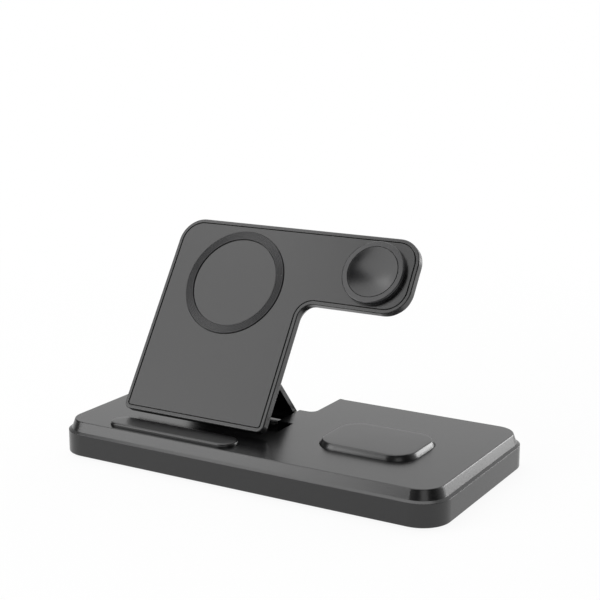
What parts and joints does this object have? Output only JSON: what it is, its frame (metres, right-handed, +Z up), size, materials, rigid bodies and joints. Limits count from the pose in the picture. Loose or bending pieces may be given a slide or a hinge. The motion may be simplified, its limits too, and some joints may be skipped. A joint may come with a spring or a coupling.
{
  "type": "folding wireless charging stand",
  "caption": "Flat charging base with a raised tray pad, and a leaning flag-shaped charging panel on a folding strut, with a round charging puck on the panel's side arm.",
  "frame": {"origin": "on the ground below the middle of the base, with the stand open", "axes": "+X along the base towards the tray pad, +Y to the rear, +Z up"},
  "size_m": [0.174, 0.0886, 0.0923],
  "materials": {
    "housing": "satin black moulded plastic",
    "panel_lid": "satin black moulded plastic",
    "strut": "satin black moulded plastic",
    "silicone": "satin black silicone",
    "foot_rubber": "matt black rubber",
    "puck": "smooth black plastic",
    "puck_face": "polished black plastic",
    "steel": "plain bright steel",
    "nylon": "natural nylon",
    "dark_plastic": "moulded black resin",
    "board": "green lacquered board",
    "lead": "coloured insulation",
    "copper": "enamelled copper wire",
    "ferrite": "dark sintered ferrite",
    "weight": "plated steel plate",
    "foam": "dark foam",
    "magnet": "nickel plated magnet"
  },
  "bodies": {
    "base": {"base_lower_shell": "housing", "base_top_cover": "housing", "base_screws": "steel", "rubber_feet": "foot_rubber", "rest_bar": "silicone", "tray_pad": "silicone", "inlet_shell": "steel", "inlet_tongue": "dark_plastic", "inlet_board": "board", "main_board": "board", "board_chips": "dark_plastic", "inlet_leads": "lead", "pad_coil": "copper", "pad_ferrite": "ferrite", "ballast_plate": "weight", "base_hinge_pin": "steel", "base_hinge_washers": "nylon"},
    "strut": {"strut_plate": "strut"},
    "panel": {"panel_back_shell": "housing", "panel_front_lid": "panel_lid", "panel_screws": "steel", "panel_hinge_pin": "steel", "panel_hinge_washers": "nylon", "panel_coil": "copper", "panel_ferrite": "ferrite", "coil_cushion": "foam", "panel_board": "board", "panel_chips": "dark_plastic", "grip_ring": "silicone", "puck_cup": "puck", "puck_board": "board", "puck_ferrite": "ferrite", "puck_coil": "copper", "puck_magnet": "magnet", "puck_face": "puck_face"}
  },
  "joints": [
    {"name": "strut_hinge", "type": "hinge", "parent": "base", "child": "strut", "pos_m": [-0.0313, 0.01675, 0.01225], "axis": [1, 0, 0], "range_deg": [0, 49.4]},
    {"name": "panel_hinge", "type": "hinge", "parent": "strut", "child": "panel", "pos_m": [-0.0313, -0.00225, 0.03442], "axis": [1, 0, 0], "range_deg": [-105.9, 0]}
  ],
  "couplings": [
    {"joint": "panel_hinge", "follows": "strut_hinge", "ratio": -2.1437}
  ]
}
